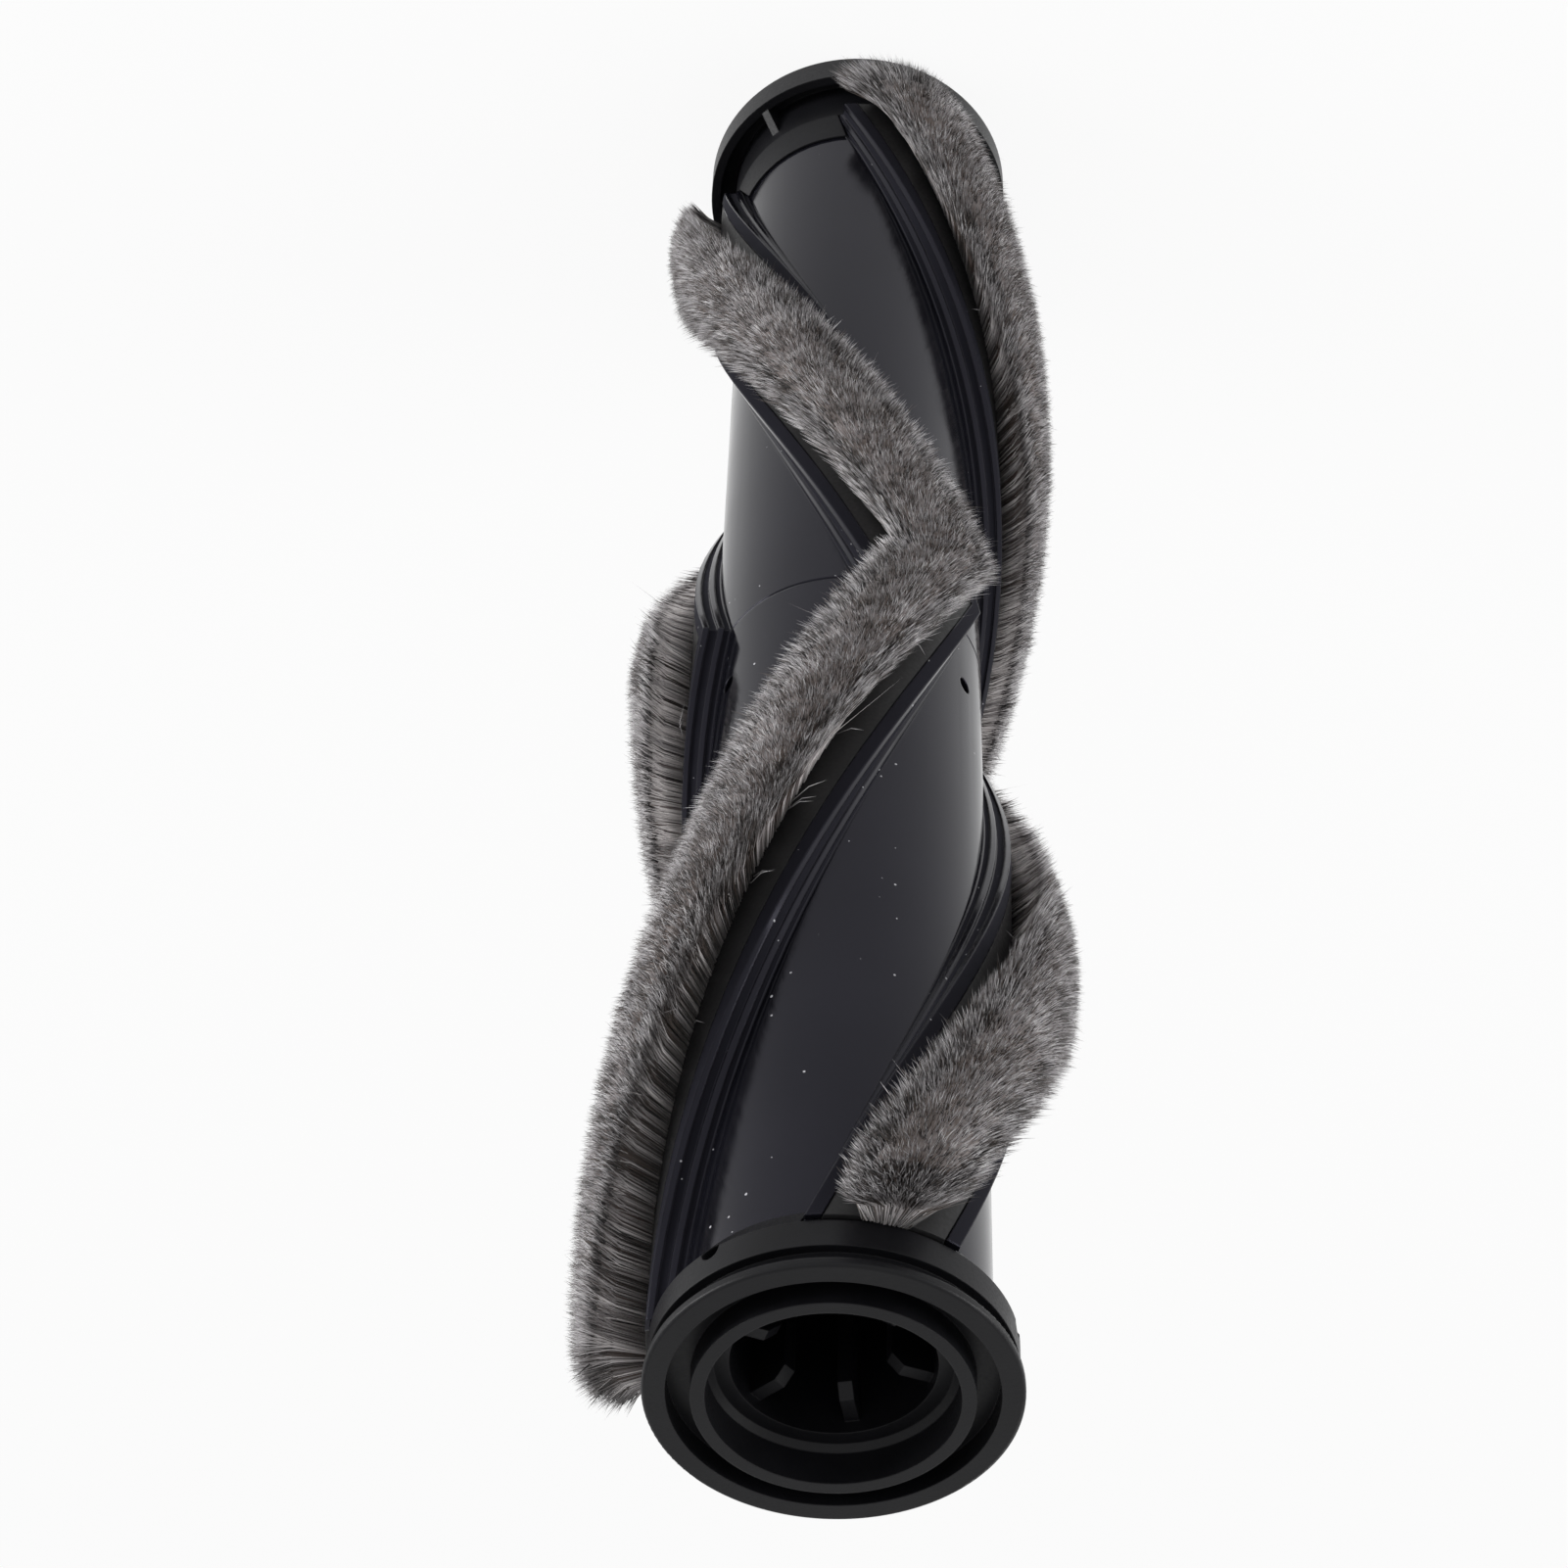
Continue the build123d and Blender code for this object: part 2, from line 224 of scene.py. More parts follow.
@dataclass(frozen=True)
class GlossShell:
    """Polished black moulding with faint ripples and a few dust specks."""

    name: str = "gloss_black_shell"
    dark: Colour = (0.0035, 0.0035, 0.0052)
    light: Colour = (0.006, 0.006, 0.0085)
    gloss: tuple[float, float] = (0.08, 0.16)
    reflection: float = 0.22
    tint: Colour = (0.8, 0.78, 1.0)
    dust: Colour = (0.42, 0.42, 0.44)
    dust_spacing: float = 1.9 * MM
    dust_size: float = 0.095
    dull_bands: tuple[tuple[float, float], ...] = ((16.95, 17.55), (18.34, 19.26), (19.88, 20.5))
    dull_rough: float = 0.9
    flat_limit: float = 0.985
    round_edge: float = 0.3 * MM
    dust_from: float = 60 * MM
    dust_to: float = 150 * MM

    def make(self) -> bpy.types.Material:
        """Make the material.

        Returns:
            The finished material.
        """
        bench = Bench(self.name)
        cloud = bench.noise(18 * MM)
        speck = bench.add("TexVoronoi", {"Vector": bench.place(), "Scale": 1 / self.dust_spacing})
        lot = bench.add("SeparateColor", {0: speck.outputs["Color"]}).outputs[0]
        reach = bench.math("MULTIPLY", bench.math("POWER", lot, 1.8), self.dust_size)
        parts = bench.add("SeparateXYZ", {0: bench.place()}).outputs
        squares = [bench.math("MULTIPLY", parts[axis], parts[axis]) for axis in "XY"]
        radius = bench.math("SQRT", bench.math("ADD", *squares))
        dull = 0.0
        for low, high in self.dull_bands:
            above = bench.math("GREATER_THAN", radius, low * MM)
            inside = bench.math("MULTIPLY", above, bench.math("LESS_THAN", radius, high * MM))
            dull = bench.math("ADD", inside, dull)
        links = {"Value": parts["Z"], "From Min": self.dust_from, "From Max": self.dust_to, "To Min": 0.35}
        reach = bench.math("MULTIPLY", reach, bench.add("MapRange", links).outputs[0])
        dusty = bench.math("LESS_THAN", speck.outputs["Distance"], reach)
        black = bench.ramp(cloud, [(0.3, self.dark), (0.7, self.light)])
        rough = bench.span(bench.noise(6 * MM), *self.gloss)
        edge = bench.rounded(self.round_edge)
        face = bench.add("NewGeometry").outputs["Normal"]
        flat = bench.add("VectorMath", {0: edge, 1: face}, operation="DOT_PRODUCT").outputs["Value"]
        dull = bench.math("MULTIPLY", dull, bench.math("GREATER_THAN", flat, self.flat_limit))
        dull = bench.math("MULTIPLY", dull, self.dull_rough)
        bench.feed(bench.shader, {
            "Base Color": bench.mix(dusty, black, (*self.dust, 1)),
            "Roughness": bench.math("MAXIMUM", rough, bench.math("MAXIMUM", dusty, dull)),
            "Specular IOR Level": self.reflection,
            "Specular Tint": (*self.tint, 1)})
        bench.bump(bench.noise(9 * MM, 1.0), 0.02 * MM, 0.35, edge)
        return bench.material


@dataclass(frozen=True)
class GrainPlastic:
    """Moulded plastic or sheet with a fine matt grain."""

    name: str
    dark: Colour
    light: Colour
    rough: tuple[float, float]
    grain: float = 0.35 * MM
    relief: float = 0.03 * MM
    strength: float = 0.35
    reflection: float = 0.5
    round_edge: float = 0.2 * MM

    def make(self) -> bpy.types.Material:
        """Make the material.

        Returns:
            The finished material.
        """
        bench = Bench(self.name)
        cloud = bench.noise(7 * MM, 4.0)
        fine = bench.noise(self.grain, 2.0)
        tint = bench.ramp(cloud, [(0.3, self.dark), (0.7, self.light)])
        bench.feed(bench.shader, {
            "Base Color": tint,
            "Roughness": bench.span(fine, *self.rough),
            "Specular IOR Level": self.reflection})
        bench.bump(fine, self.relief, self.strength, bench.rounded(self.round_edge))
        return bench.material


@dataclass(frozen=True)
class TurnedSteel:
    """Steel with fine turning marks around the axis."""

    name: str
    dark: Colour
    light: Colour
    rough: tuple[float, float]
    marks: float = 0.25 * MM

    def make(self) -> bpy.types.Material:
        """Make the material.

        Returns:
            The finished material.
        """
        bench = Bench(self.name)
        wave = bench.add("TexWave", {
            "Vector": bench.place(), "Scale": 0.05 / self.marks, "Distortion": 1.5, "Detail": 2.0},
            wave_type="RINGS", rings_direction="Z")
        cloud = bench.noise(3 * MM)
        bench.feed(bench.shader, {
            "Base Color": bench.ramp(cloud, [(0.3, self.dark), (0.7, self.light)]),
            "Roughness": bench.span(cloud, *self.rough),
            "Metallic": 1.0})
        bench.bump(wave.outputs["Fac"], 0.01 * MM, 0.25)
        return bench.material


@dataclass(frozen=True)
class PileFibre:
    """Soft mixed fibre: grey with dark brown and black, with painted shade along each fibre: darker at the
    root and just below the tips, lightest halfway up.
    """

    name: str = "grey_pile_fibre"
    stops: tuple[tuple[float, Colour], ...] = (
        (0.0, (0.012, 0.009, 0.008)),
        (0.2, (0.075, 0.052, 0.041)),
        (0.45, (0.27, 0.251, 0.255)),
        (0.75, (0.5, 0.485, 0.5)),
        (1.0, (0.92, 0.9, 0.91)))
    # Painted shade: darkening by share of the pile's height, standing in for the shadow between fibres.
    painted_shades: tuple[tuple[float, Colour], ...] = (
        (0.0, (0.66, 0.62, 0.6)),
        (0.5, (1.0, 0.97, 0.95)),
        (0.78, (0.28, 0.265, 0.26)),
        (0.97, (0.74, 0.74, 0.74)))

    def make(self) -> bpy.types.Material:
        """Make the material.

        Returns:
            The finished material.
        """
        bench = Bench(self.name)
        tone = bench.add("Attribute", attribute_name="tone").outputs["Fac"]
        along = bench.add("Attribute", attribute_name="along").outputs["Fac"]
        fibre = bench.ramp(tone, list(self.stops))
        # Painted shade: the fibre's tone is multiplied by the painted shade ramp along it.
        shade = bench.ramp(along, list(self.painted_shades))
        bench.feed(bench.shader, {
            "Base Color": bench.mix(1.0, fibre, shade, "MULTIPLY"),
            "Roughness": bench.span(bench.noise(1.5 * MM), 0.55, 0.75),
            "Specular IOR Level": 0.35,
            "Sheen Weight": 0.15,
            "Sheen Roughness": 0.5})
        return bench.material


@dataclass(frozen=True)
class StripPath:
    """Line of one V strip: it turns about the axis as it leaves mid length."""

    apex: float = math.radians(239.4)
    twist: float = math.radians(1.22)
    mid: float = 118.5

    def place(
            self, half: Half, turn: float, run: np.ndarray, out: np.ndarray, side: np.ndarray) -> np.ndarray:
        """Points beside the line.

        Args:
            half: half of the roller.
            turn: turn of this V from the first one, in radians.
            run: distance from mid length, in millimetres.
            out: distance from the axis.
            side: offset square to that, towards the trailing side.
        Returns:
            Points in millimetres, one row each.
        """
        angle = self.apex + turn + self.twist * run
        c, s = np.cos(angle), np.sin(angle)
        return np.stack([out * c - side * s, out * s + side * c, self.mid + half.value * run], -1)


@dataclass(frozen=True)
class PileTrim:
    """How the pile of one half changes towards its open end, in millimetres."""

    length: float
    overhang: float
    rise: tuple[float, float]
    splay: float
    fan: tuple[float, float]
    splay_run: float = 11.0


IDLE_TRIM = PileTrim(108.1, 1.7, (-0.1, -0.4), 1.9, (0.06, 0.42))
TRIMS = {
    Half.DRIVE: (
        PileTrim(110.9, -0.6, (-0.6, 1.2), 0.3, (0.0, -0.4)),
        PileTrim(110.9, -0.6, (0.4, -4.0), 0.2, (0.0, 0.0)),
        PileTrim(110.9, 0.4, (-0.6, 0.8), 2.0, (0.0, -0.2))),
    Half.IDLE: (IDLE_TRIM, IDLE_TRIM, IDLE_TRIM)}


@dataclass(frozen=True)
class TuftMix:
    """How pale and dark fibres mix: tufts of one tone in rows, with single fibres of other tones."""

    rows: int = 15
    pitch: float = 0.9
    scatter: float = 0.3
    dark_share: float = 0.3
    dark: tuple[float, float] = (0.0, 0.2)
    pale: tuple[float, float] = (0.42, 1.0)
    cloud: float = 0.1
    cloud_runs: tuple[float, float] = (2.9, 5.3)
    cloud_slopes: tuple[float, float] = (4, -2)
    loose_share: float = 0.15
    loose: tuple[float, float] = (0.35, 1.0)
    single_share: float = 0.12
    single: tuple[float, float] = (0.0, 0.15)
    spread: float = 0.08

    def tones(
            self, rng: np.random.Generator, length: float, run: np.ndarray, across: np.ndarray) -> np.ndarray:
        """Tone of each fibre, shared within a tuft.

        Args:
            rng: source of random numbers.
            length: length of the half strip.
            run: distance of each root from mid length.
            across: place across the strip, -1 to 1.
        Returns:
            Tones from 0, black, to 1, pale grey.
        """
        count = len(run)
        columns = int(length / self.pitch) + 6
        shape = (columns, self.rows)
        is_dark = rng.random(shape) < self.dark_share
        tufts = np.where(is_dark, rng.uniform(*self.dark, shape), rng.uniform(*self.pale, shape))
        row = (across + 1) / 2 * self.rows + rng.normal(0, self.scatter, count)
        row = np.clip(row.astype(int), 0, self.rows - 1)
        shift = rng.random(self.rows)[row]
        column = run / self.pitch + shift + rng.normal(0, self.scatter, count) + 1
        column = np.clip(column.astype(int), 0, columns - 1)
        waves = [np.sin(run / far + slope * across) for far, slope in zip(self.cloud_runs, self.cloud_slopes)]
        tone = tufts[column, row] + self.cloud * (waves[0] * waves[1])
        for share, tones in ((self.loose_share, self.loose), (self.single_share, self.single)):
            picked = rng.random(count) < share
            tone[picked] = rng.uniform(*tones, picked.sum())
        return np.clip(tone + rng.normal(0, self.spread, count), 0, 1)


@dataclass(frozen=True)
class TipSet:
    """Short bristle tips on the top of the core; rises are shares of the pile's height."""

    seed: tuple[int, int] = (500, 10)
    count: int = 22000
    radius: float = 0.078
    thick: tuple[float, float] = (0.75, 1.3)
    roots: tuple[float, float] = (0.72, 0.82)
    uneven: float = 0.03
    proud: float = 0.035
    wave: float = 0.3
    lean: tuple[float, float] = (0.5, 0.45)


@dataclass(frozen=True)
class SideSet:
    """Long fibres at the sides and the open end, strays and fallen ones; rises are shares of the height."""

    seed: tuple[int, int] = (0, 100)
    count: int = 5600
    ends: int = 1000
    strays: int = 60
    fallen: int = 12
    radius: float = 0.095
    thick: tuple[float, float] = (0.75, 1.25)
    stray_thick: float = 0.6
    fallen_radius: float = 0.07
    band: tuple[float, float] = (0.82, 1.03)
    end_run: float = 4.2
    # Painted light: how much the side tones are lightened near the V's point, and over what run it fades out.
    painted_light_gain: float = 0.6
    painted_light_run: float = 60
    streaks: int = 60
    streak_pitch: tuple[float, float] = (1.4, 4.0)
    streak_half: tuple[float, float] = (0.05, 0.2)
    streak_tone: tuple[float, float] = (0.02, 0.2)
    roots: tuple[float, float] = (0.0, 0.05)
    uneven: float = 0.03
    sunk: float = 0.06
    stray_rise: tuple[float, float] = (0.02, 0.1)
    wave: float = 0.5
    lean: tuple[float, float] = (0.4, 0.36)
    stray_lean: tuple[float, float] = (1.5, 0.9)
    end_lean: tuple[float, float] = (-0.4, 1.1)
    fallen_path: tuple[tuple[float, float, float], ...] = (
        (2.6, 0.0, 0.2),
        (4.2, 0.9, 0.8),
        (5.5, 1.8, 0.35))
    fallen_start: tuple[float, float] = (-0.3, 0.7)
    fallen_level: float = 20.05
    fallen_margin: float = 4.0
    fallen_tone: tuple[float, float] = (0.7, 1.0)
    # Levels on the pile fibre's painted shade ramp for the fallen fibres, root to tip.
    fallen_shade: tuple[float, float] = (0.8, 1.0)


@dataclass
class PileStrip:
    """Soft pile of one half strip: a swept core and the fibres that stand on it, in millimetres."""

    half: Half
    index: int
    path: StripPath = StripPath()
    mix: TuftMix = TuftMix()
    tip_set: TipSet = TipSet()
    side_set: SideSet = SideSet()
    foot: float = 19.55
    height: float = 7.7
    foot_half: float = 2.4
    tip_half: float = 7.7
    lean: float = 0.65
    crown: float = 3.15
    droop: float = 0.9
    bow_power: float = 1.3
    bend_power: float = 5
    end_drop: float = 0.7
    corner_trim: float = 2.6
    core_share: float = 0.86
    core_start: float = 0.15
    core_back: float = 3.6
    core_steps: int = 60
    core_seed: int = 40
    core_tone: tuple[float, float] = (0.2, 0.4)
    # Level on the pile fibre's painted shade ramp that the whole core is darkened at.
    core_along: float = 0.35
    first_run: float = -0.3
    wave_run: float = 3.6
    dark_below: float = 0.25

    @property
    def trim(self) -> PileTrim:
        """Changes along this half strip; the second drive one is pressed down, as the roller lay on it."""
        return TRIMS[self.half][self.index - 1]

    @property
    def length(self) -> float:
        """Length of the half strip."""
        return self.trim.length

    @property
    def reach(self) -> float:
        """Distance of the last root from mid length."""
        return self.length + self.trim.overhang

    @property
    def name(self) -> str:
        """Name of the strip's pieces."""
        return f"{self.half.label}_pile_{self.index}"

    @property
    def turn(self) -> float:
        """Turn of this V from the first one."""
        return (self.index - 1) * math.tau / 3

    def seeded(self, base: int, step: int) -> np.random.Generator:
        """Source of random numbers that is this half strip's own.

        Args:
            base: number that sets the kind of piece.
            step: step from strip to strip.
        Returns:
            The seeded source.
        """
        return np.random.default_rng(base + step * self.index + int(self.half is Half.IDLE))

    def fibre_point(self, run: np.ndarray, across: np.ndarray, rise: np.ndarray) -> tuple:
        """Where a fibre is at a share of its height.

        Args:
            run: distance of its root from mid length.
            across: place across the strip, -1 to 1.
            rise: share of the height, 1 at the tip.
        Returns:
            Run, distance from the axis and offset of the point.
        """
        trim = self.trim
        low, high = trim.rise
        end = np.clip((run - trim.length + trim.splay_run) / trim.splay_run, 0, 1) ** 2
        tall = self.height + low + (high - low) * run / trim.length
        tall = tall - self.crown * across ** 2 - self.droop * across
        tall = tall - self.end_drop * trim.splay * end ** 3
        bow = np.abs(rise) ** self.bow_power
        tip = self.lean + self.tip_half * (1 + np.where(across < 0, *trim.fan) * end) * across
        side = self.foot_half * across * (1 - bow) + tip * bow
        along = trim.splay * end * bow * (1 - self.corner_trim * across ** 4)
        return run + along, self.foot + rise * tall, side

    def core_profile(self) -> list[tuple[float, float]]:
        """Section of the core.

        Returns:
            Its corners, as shares of the pile's height and half width.
        """
        share = self.core_share
        edge = [(0.0, -share), (0.55, -share), (0.75, -0.85 * share)]
        rim = [(share, place * share) for place in np.linspace(-0.7, 0.7, 7)]
        return edge + rim + [(rise, -across) for rise, across in reversed(edge)]

    def core(self) -> bpy.types.Object:
        """Sweep the core under the fibres.

        Returns:
            The core's object.
        """
        start, run = self.core_start, self.reach - self.core_back - self.core_start
        bm = bmesh.new()
        rise_layer = bm.verts.layers.float.new("rise")
        across_layer = bm.verts.layers.float.new("across")
        corners = []
        for rise, across in self.core_profile():
            corner = bm.verts.new((self.foot + rise, across, start))
            corner[rise_layer] = rise
            corner[across_layer] = across
            corners.append(corner)
        loop = [bm.edges.new(pair) for pair in zip(corners, corners[1:] + corners[:1])]
        bmesh.ops.contextual_create(bm, geom=loop)
        swept = bmesh.ops.spin(
            bm, geom=corners + loop, cent=(0, 0, 0), axis=(0, 0, 1), steps=self.core_steps,
            angle=self.path.twist * run, dvec=(0, 0, run / self.core_steps))
        last = [part for part in swept["geom_last"] if isinstance(part, bmesh.types.BMEdge)]
        bmesh.ops.contextual_create(bm, geom=last)
        for vert in bm.verts:
            place = self.fibre_point(np.float64(vert.co.z), np.float64(vert[across_layer]), vert[rise_layer])
            vert.co = self.path.place(self.half, self.turn, *place)
        bmesh.ops.scale(bm, verts=bm.verts, vec=(MM, MM, MM))
        bmesh.ops.recalc_face_normals(bm, faces=bm.faces)
        mesh = bpy.data.meshes.new(self.name + "_core")
        bm.to_mesh(mesh)
        bm.free()
        mesh.shade_smooth()
        count = len(mesh.vertices)
        tone = np.random.default_rng(self.core_seed + self.index).uniform(*self.core_tone, count)
        return linked(mesh, {"tone": tone, "along": np.full(count, self.core_along)})

    def waves(self, size: float, run: np.ndarray) -> np.ndarray:
        """Slow sway of the tips along the strip.

        Args:
            size: largest offset.
            run: distance of each root from mid length.
        Returns:
            Offset of each tip.
        """
        return size * np.sin(run / self.wave_run + self.index)

    def lines(
            self, run: np.ndarray, across: np.ndarray, rise: np.ndarray, drift: np.ndarray, sway: np.ndarray,
            shares: tuple[float, ...]) -> np.ndarray:
        """Lines of standing fibres.

        Args:
            run: distance of each root from mid length.
            across: place across the strip.
            rise: share of the height at each root and tip.
            drift: offset of the tip along the strip.
            sway: offset of the tip across the strip.
            shares: places along a fibre to give.
        Returns:
            Those points of each fibre.
        """
        points = []
        for share in shares:
            level = rise[:, 0] + (rise[:, 1] - rise[:, 0]) * share
            at_run, out, side = self.fibre_point(run, across, level)
            bend = level ** self.bend_power
            at_run = at_run + drift * bend
            points.append(self.path.place(self.half, self.turn, at_run, out, side + sway * bend))
        return np.stack(points, 1)

    def tips(self) -> bpy.types.Object:
        """Stand the short bristle tips on the top of the core.

        Returns:
            The tips' object.
        """
        kit = self.tip_set
        rng = self.seeded(*kit.seed)
        run = rng.uniform(self.first_run, self.reach, kit.count)
        across = rng.uniform(-1, 1, kit.count)
        tone = self.mix.tones(rng, self.length, run, across)
        high = 1.0 + rng.normal(0, kit.uneven, kit.count) + kit.proud * (tone < self.dark_below)
        rise = np.stack([rng.uniform(*kit.roots, kit.count), high], 1)
        drift, sway = (rng.normal(0, lean, kit.count) for lean in kit.lean)
        lines = self.lines(run, across, rise, self.waves(kit.wave, run) + drift, sway, (0.0, 1.0))
        thick = kit.radius * rng.uniform(*kit.thick, kit.count)
        return strand_mesh(self.name + "_tips", lines, thick, tone, rise)

    def side_tones(
            self, rng: np.random.Generator, run: np.ndarray, across: np.ndarray,
            plain: np.ndarray) -> np.ndarray:
        """Tones at the sides: lighter near the V's point as painted light, with thin dark streaks.

        Args:
            rng: source of random numbers.
            run: distance of each root from mid length.
            across: place across the strip.
            plain: whether a fibre may be part of a streak.
        Returns:
            Tones from 0, black, to 1, pale grey.
        """
        kit = self.side_set
        # Painted light: side tones are lightened near the V's point, where light falls on those sides.
        painted_apex_light = kit.painted_light_gain * np.clip(1 - run / kit.painted_light_run, 0, 1)
        tone = np.clip(self.mix.tones(rng, self.length, run, across) + painted_apex_light, 0, 1)
        streaks = np.cumsum(rng.uniform(*kit.streak_pitch, kit.streaks))
        gap = np.abs(run[:, None] - streaks[None, :]).min(1)
        streak = plain & (gap < rng.uniform(*kit.streak_half, len(run)))
        tone[streak] = rng.uniform(*kit.streak_tone, streak.sum())
        return tone

    def fallen_lines(self, rng: np.random.Generator) -> np.ndarray:
        """Loose fibres that lie on the carrier beside the pile.

        Args:
            rng: source of random numbers.
        Returns:
            Root, bend and tip of each.
        """
        kit = self.side_set
        run = rng.uniform(kit.fallen_margin, self.length - kit.fallen_margin, kit.fallen)
        way = rng.choice((-1.0, -1.0, 1.0), kit.fallen)
        slope = rng.normal(0, 1, kit.fallen)
        start = rng.uniform(*kit.fallen_start, kit.fallen)
        points = []
        for reach, drift, lift in kit.fallen_path:
            side = way * (reach + start)
            out = np.sqrt(kit.fallen_level ** 2 - side ** 2) + lift
            points.append(self.path.place(self.half, self.turn, run + drift * slope, out, side))
        return np.stack(points, 1)

    def fibres(self) -> bpy.types.Object:
        """Stand the long fibres at the sides and ends, and lay the loose ones.

        Returns:
            The fibres' object.
        """
        kit = self.side_set
        rng = self.seeded(*kit.seed)
        count = kit.count + kit.strays
        is_stray = np.arange(count) >= kit.count
        is_end = np.arange(count) < kit.ends
        run = rng.uniform(self.first_run, self.reach, count)
        across = rng.choice((-1.0, 1.0), count) * rng.uniform(*kit.band, count)
        run = np.where(is_end, self.reach - rng.uniform(0, kit.end_run, count) * rng.random(count), run)
        across = np.where(is_end, rng.uniform(-1, 1, count), across)
        tone = self.side_tones(rng, run, across, ~is_stray & ~is_end)
        high = 1.0 + rng.normal(0, kit.uneven, count) - kit.sunk * (tone < self.dark_below)
        high[is_stray] += rng.uniform(*kit.stray_rise, kit.strays)
        rise = np.stack([rng.uniform(*kit.roots, count), high], 1)
        drift = self.waves(kit.wave, run) + rng.normal(0, kit.lean[0], count)
        drift[is_stray] += rng.normal(0, kit.stray_lean[0], kit.strays)
        drift[is_end] += rng.uniform(*kit.end_lean, kit.ends)
        sway = rng.normal(0, kit.lean[1], count)
        sway[is_stray] += rng.normal(0, kit.stray_lean[1], kit.strays)
        standing = self.lines(run, across, rise, drift, sway, (0.0, 0.5, 1.0))
        thick = kit.radius * rng.uniform(*kit.thick, count)
        thick[is_stray] *= kit.stray_thick
        lines = np.concatenate([standing, self.fallen_lines(rng)])
        thick = np.concatenate([thick, np.full(kit.fallen, kit.fallen_radius)])
        tone = np.concatenate([tone, rng.uniform(*kit.fallen_tone, kit.fallen)])
        rise = np.concatenate([rise, np.tile(kit.fallen_shade, (kit.fallen, 1))])
        return strand_mesh(self.name + "_fibres", lines, thick, tone, rise)

    def build(self, finish: bpy.types.Material) -> list[bpy.types.Object]:
        """Make, dress and hang the strip's pieces.

        Args:
            finish: material of the pile.
        Returns:
            The pieces.
        """
        pieces = [self.core(), self.fibres(), self.tips()]
        for piece in pieces:
            piece.data.materials.append(finish)
            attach(piece, "roller")
        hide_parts(f"{self.half.label}_brush_pile_{self.index}")
        return pieces


def linked(mesh: bpy.types.Mesh, marks: dict[str, np.ndarray]) -> bpy.types.Object:
    """Put a mesh in the scene.

    Args:
        mesh: finished mesh.
        marks: name to one number for each vertex.
    Returns:
        Its object, at the origin.
    """
    for name, values in marks.items():
        mesh.attributes.new(name, "FLOAT", "POINT").data.foreach_set("value", values.astype(np.float32))
    piece = bpy.data.objects.new(mesh.name, mesh)
    bpy.context.scene.collection.objects.link(piece)
    return piece


def strand_template(bent: bool) -> tuple[np.ndarray, np.ndarray]:
    """Model one straight fibre: a slim three-sided spike.

    Args:
        bent: whether it has a ring to bend at.
    Returns:
        Its vertices, from 0 at the root to 1 at the tip along Z, and its triangles.
    """
    bm = bmesh.new()
    bmesh.ops.create_cone(bm, cap_ends=True, segments=3, radius1=1.0, radius2=0.0, depth=1.0)
    bmesh.ops.translate(bm, verts=bm.verts, vec=(0, 0, 0.5))
    bmesh.ops.remove_doubles(bm, verts=bm.verts, dist=1e-4)
    if bent:
        parts = bm.verts[:] + bm.edges[:] + bm.faces[:]
        bmesh.ops.bisect_plane(bm, geom=parts, plane_co=(0, 0, 0.5), plane_no=(0, 0, 1))
        ring = [v for v in bm.verts if abs(v.co.z - 0.5) < 1e-3]
        bmesh.ops.scale(bm, verts=ring, vec=(1.7, 1.7, 1.0))
    bmesh.ops.triangulate(bm, faces=bm.faces)
    bmesh.ops.recalc_face_normals(bm, faces=bm.faces)
    bm.verts.index_update()
    vertices = np.array([v.co for v in bm.verts])
    triangles = np.array([[v.index for v in f.verts] for f in bm.faces])
    bm.free()
    return vertices, triangles


def strand_mesh(
        name: str, points: np.ndarray, thick: np.ndarray, tone: np.ndarray,
        rise: np.ndarray) -> bpy.types.Object:
    """Copy the fibre along many short lines.

    Args:
        name: name of the piece.
        points: root and tip of each fibre, with the bend between them if it has one, in millimetres.
        thick: radius of each fibre.
        tone: tone of each fibre.
        rise: share of the pile's height at each fibre's root and tip.
    Returns:
        The piece.
    """
    last = points.shape[1] - 1
    shape, triangles = strand_template(last == 2)
    level = np.rint(shape[:, 2] * last).astype(int)
    line = points[:, last] - points[:, 0]
    line /= np.linalg.norm(line, axis=1, keepdims=True)
    first = np.cross(line, np.array(OFF_AXIS))
    first /= np.linalg.norm(first, axis=1, keepdims=True)
    second = np.cross(line, first)
    spread = shape[:, 0, None] * first[:, None] + shape[:, 1, None] * second[:, None]
    vertices = (points[:, level] + spread * thick[:, None, None]) * MM
    faces = triangles[None] + (np.arange(len(points)) * len(shape))[:, None, None]
    mesh = bpy.data.meshes.new(name)
    mesh.from_pydata(vertices.reshape(-1, 3), [], faces.reshape(-1, 3))
    mesh.shade_smooth()
    along = rise[:, :1] + (rise[:, 1:] - rise[:, :1]) * shape[None, :, 2]
    return linked(mesh, {"tone": np.repeat(tone, len(shape)), "along": along.ravel()})


@dataclass
class RollerBody:
    """Moulded tube, caps and carriers, which keep their solids and get their finishes."""

    tube: GlossShell = GlossShell()
    cap: GrainPlastic = GrainPlastic(
        "cap_black_grain", (0.0038, 0.0038, 0.0047), (0.0064, 0.0064, 0.0078), (0.34, 0.46), reflection=0.17)
    carrier: GrainPlastic = GrainPlastic(
        "carrier_dull_strip", (0.008, 0.0079, 0.0084), (0.0125, 0.0122, 0.0128), (0.45, 0.6), grain=0.5 * MM,
        reflection=0.3)

    def dress(self) -> None:
        """Give each solid its finish."""
        for finish, slot in (
                (self.tube, "gloss_black"), (self.cap, "cap_black"), (self.carrier, "backing_brown")):
            dress_slot(slot, finish.make())


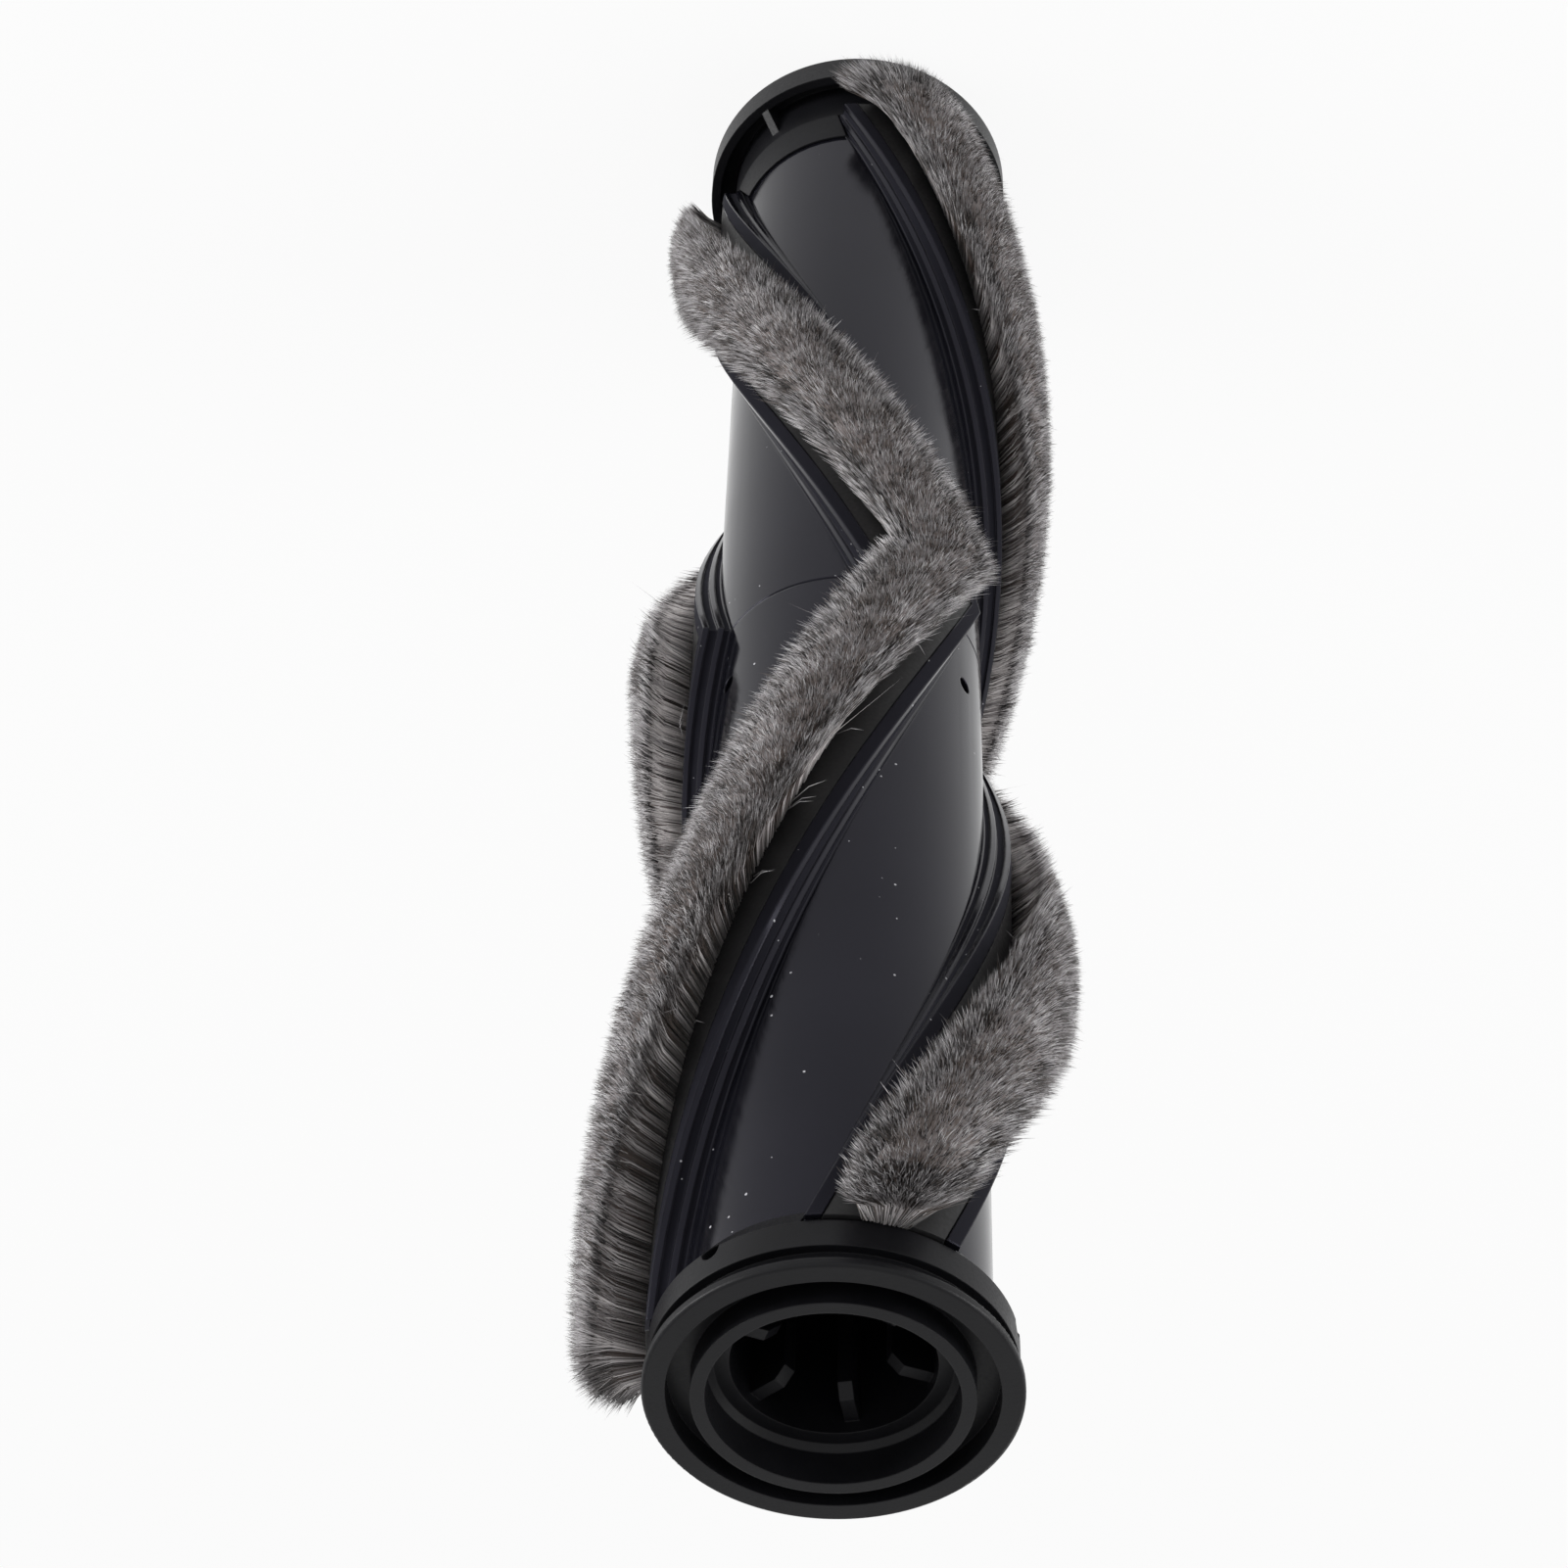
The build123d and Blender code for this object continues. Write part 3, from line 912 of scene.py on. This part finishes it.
@dataclass
class BearingSet:
    """Ball bearing, its retaining ring and the bush in it."""

    race: TurnedSteel = TurnedSteel("bearing_steel_ground", (0.5, 0.5, 0.5), (0.66, 0.66, 0.66), (0.16, 0.3))
    pressed: TurnedSteel = TurnedSteel(
        "shield_steel_pressed", (0.4, 0.4, 0.39), (0.52, 0.52, 0.51), (0.28, 0.42))
    spring: TurnedSteel = TurnedSteel(
        "spring_steel_oiled", (0.06, 0.058, 0.055), (0.1, 0.097, 0.09), (0.3, 0.45))
    bush: GrainPlastic = GrainPlastic(
        "bush_white_nylon", (0.62, 0.61, 0.57), (0.72, 0.71, 0.67), (0.38, 0.5))

    def dress(self) -> None:
        """Give each solid its finish."""
        for finish, slot in (
                (self.race, "bearing_steel"), (self.pressed, "cage_steel"),
                (self.spring, "spring_steel"), (self.bush, "bush_white")):
            dress_slot(slot, finish.make())


def dress_slot(slot: str, material: bpy.types.Material) -> None:
    """Put a finish on every solid of one slot of the record.

    Args:
        slot: the slot's name.
        material: finish for it.
    """
    for name, node in frame["nodes"].items():
        if node.data.materials[0].name.split(".")[0] == slot:
            node.data.materials[0] = material
            log.info("%s dressed in %s", name, material.name)


@dataclass(frozen=True)
class Lamp:
    """Soft rectangular studio lamp."""

    name: str
    place: tuple[float, float, float]
    size: tuple[float, float]
    power: float

    def hang(self, target: Vector) -> None:
        """Hang the lamp and point it.

        Args:
            target: point that it shines on.
        """
        data = bpy.data.lights.new(self.name, "AREA")
        data.shape = "RECTANGLE"
        data.size, data.size_y = self.size
        data.energy = self.power
        lamp = bpy.data.objects.new(self.name, data)
        lamp.location = self.place
        lamp.rotation_euler = (target - Vector(self.place)).to_track_quat("-Z", "Y").to_euler()
        bpy.context.scene.collection.objects.link(lamp)


@dataclass
class Studio:
    """Pale floor, soft lamps, world and the camera."""

    floor_half: float = 3.0
    floor_colour: Colour = (0.82, 0.82, 0.82)
    floor_glow: float = 0.9
    world_light: float = 0.5
    target: tuple[float, float, float] = (0.0, 0.0, 0.12)
    lens: float = 91.05
    eye: tuple[float, float, float] = (-0.00161, -0.31443, 0.50889)
    right: tuple[float, float, float] = (-0.99969, -0.00024, -0.02493)
    up: tuple[float, float, float] = (0.01631, -0.76247, -0.64682)
    lamps: tuple[Lamp, ...] = (
        Lamp("key_lamp", (0.8, -0.2, 0.14), (0.5, 0.4), 7.6),
        Lamp("fill_lamp", (-0.8, -0.12, 0.26), (0.5, 0.6), 5.4),
        Lamp("front_lamp", (0.25, -0.75, 0.5), (0.6, 0.4), 0.5))

    def clear(self) -> None:
        """Take away what the empty file starts with."""
        for thing in list(bpy.data.objects):
            if "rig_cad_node" not in thing and not thing.name.startswith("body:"):
                bpy.data.objects.remove(thing)

    def build(self) -> None:
        """Lay the floor, hang the lamps and set the camera."""
        self.lay_floor()
        self.light_world()
        for lamp in self.lamps:
            lamp.hang(Vector(self.target))
        self.set_camera()
        bpy.context.scene.view_settings.view_transform = "Standard"

    def seen(self, tree: bpy.types.NodeTree) -> bpy.types.NodeSocket:
        """Share of rays that show the background.

        Args:
            tree: node tree to add to.
        Returns:
            Output that is 1 for camera, glossy and transmission rays.
        """
        path = tree.nodes.new("ShaderNodeLightPath")
        total = path.outputs["Is Camera Ray"]
        for name in ("Is Glossy Ray", "Is Transmission Ray"):
            both = tree.nodes.new("ShaderNodeMath")
            both.operation = "MAXIMUM"
            tree.links.new(total, both.inputs[0])
            tree.links.new(path.outputs[name], both.inputs[1])
            total = both.outputs[0]
        return total

    def lay_floor(self) -> None:
        """Make the floor with a matt surface that glows for the eye."""
        bm = bmesh.new()
        bmesh.ops.create_grid(bm, x_segments=2, y_segments=2, size=self.floor_half)
        mesh = bpy.data.meshes.new("floor")
        bm.to_mesh(mesh)
        bm.free()
        floor = linked(mesh, {})
        bench = Bench("floor_white")
        tree = bench.tree
        bench.feed(bench.shader, {"Base Color": (*self.floor_colour, 1), "Roughness": 0.9})
        glow = bench.add("Emission", {"Strength": 1.0})
        share = bench.math("MULTIPLY", self.seen(tree), self.floor_glow)
        both = bench.add("MixShader", {0: share, 1: bench.shader.outputs[0], 2: glow.outputs[0]})
        tree.links.new(both.outputs[0], tree.nodes["Material Output"].inputs[0])
        mesh.materials.append(bench.material)

    def light_world(self) -> None:
        """Light from all round, white where the eye sees it."""
        world = bpy.data.worlds.new("studio")
        bpy.context.scene.world = world
        world.use_nodes = True
        tree = world.node_tree
        sky = tree.nodes["Background"]
        sky.inputs["Color"].default_value = (1.0, 1.0, 1.0, 1.0)
        span = tree.nodes.new("ShaderNodeMapRange")
        tree.links.new(self.seen(tree), span.inputs["Value"])
        span.inputs["To Min"].default_value = self.world_light
        tree.links.new(span.outputs[0], sky.inputs["Strength"])

    def set_camera(self) -> None:
        """Set the camera at the photograph's place."""
        data = bpy.data.cameras.new("camera")
        data.lens = self.lens
        camera = bpy.data.objects.new("camera", data)
        right, up = Vector(self.right), Vector(self.up)
        turn = Matrix((right, up, right.cross(up))).transposed()
        camera.matrix_world = Matrix.Translation(self.eye) @ turn.to_4x4()
        bpy.context.scene.collection.objects.link(camera)
        bpy.context.scene.camera = camera


def main() -> None:
    """Build the brush and its studio."""
    logging.basicConfig(level=logging.INFO, format="%(message)s")
    studio = Studio()
    studio.clear()
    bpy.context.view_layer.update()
    RollerBody().dress()
    BearingSet().dress()
    pile = PileFibre().make()
    for half in Half:
        for index in (1, 2, 3):
            for piece in PileStrip(half, index).build(pile):
                log.info("%s: %d faces", piece.name, len(piece.data.polygons))
    studio.build()


if __name__ == "__main__":
    main()
